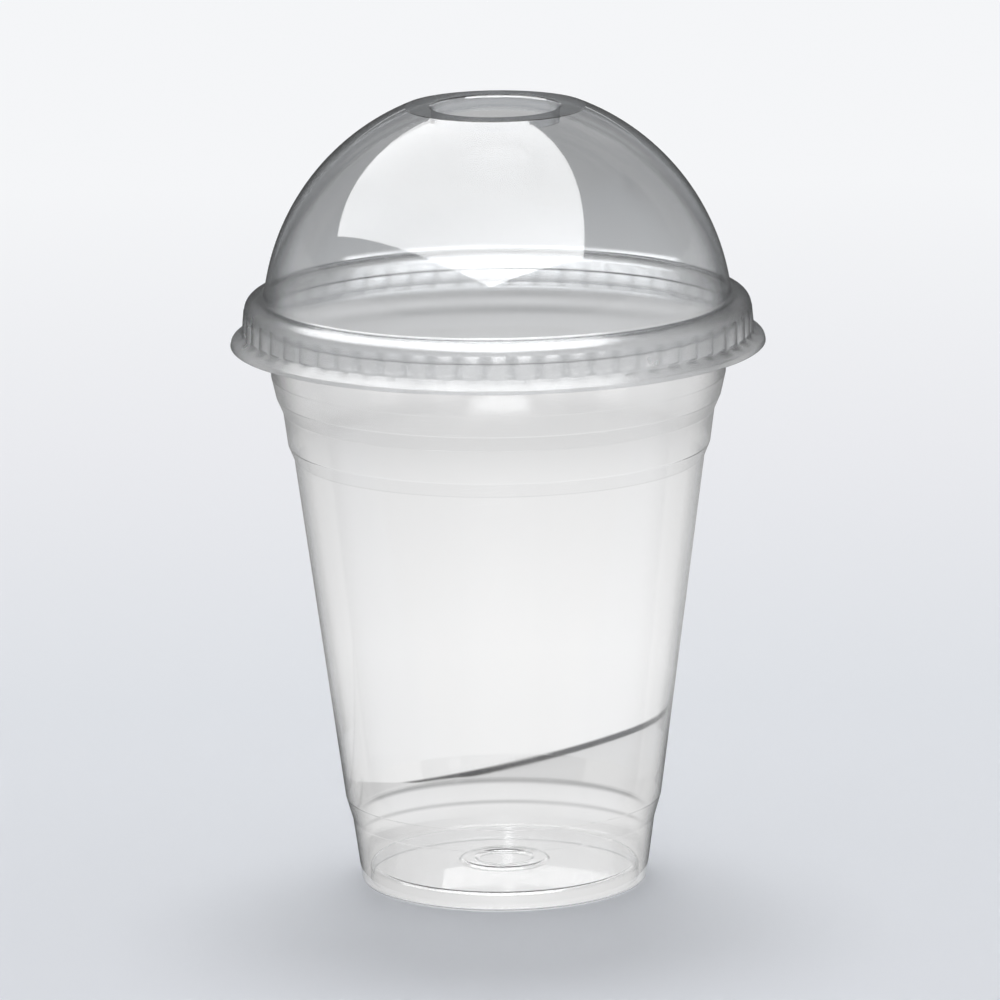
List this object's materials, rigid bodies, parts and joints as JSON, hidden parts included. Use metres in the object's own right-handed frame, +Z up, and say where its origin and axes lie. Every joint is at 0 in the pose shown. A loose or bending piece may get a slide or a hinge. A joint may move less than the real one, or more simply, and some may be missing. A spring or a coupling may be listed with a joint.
{
  "type": "plastic cup with dome lid",
  "caption": "Clear thin-walled tapered drinks cup with a rolled rim, and a lift-off dome lid with grip ribs, flared hem and a round straw hole in its top.",
  "frame": {"origin": "centre of the foot ring, on the surface that the cup stands on", "axes": "+Z up along the cup's axis of symmetry; X and Y are alike, as the cup is round"},
  "size_m": [0.105, 0.105, 0.1552],
  "materials": {
    "cup_plastic": "clear polished thin sheet",
    "lid_plastic": "clear polished thin sheet"
  },
  "bodies": {
    "cup": {"cup": "cup_plastic"},
    "lid": {"dome_lid": "lid_plastic"}
  },
  "joints": [
    {"name": "lid_lift", "type": "slide", "parent": "cup", "child": "lid", "axis": [0, 0, 1], "range_m": [0, 0.06]}
  ]
}
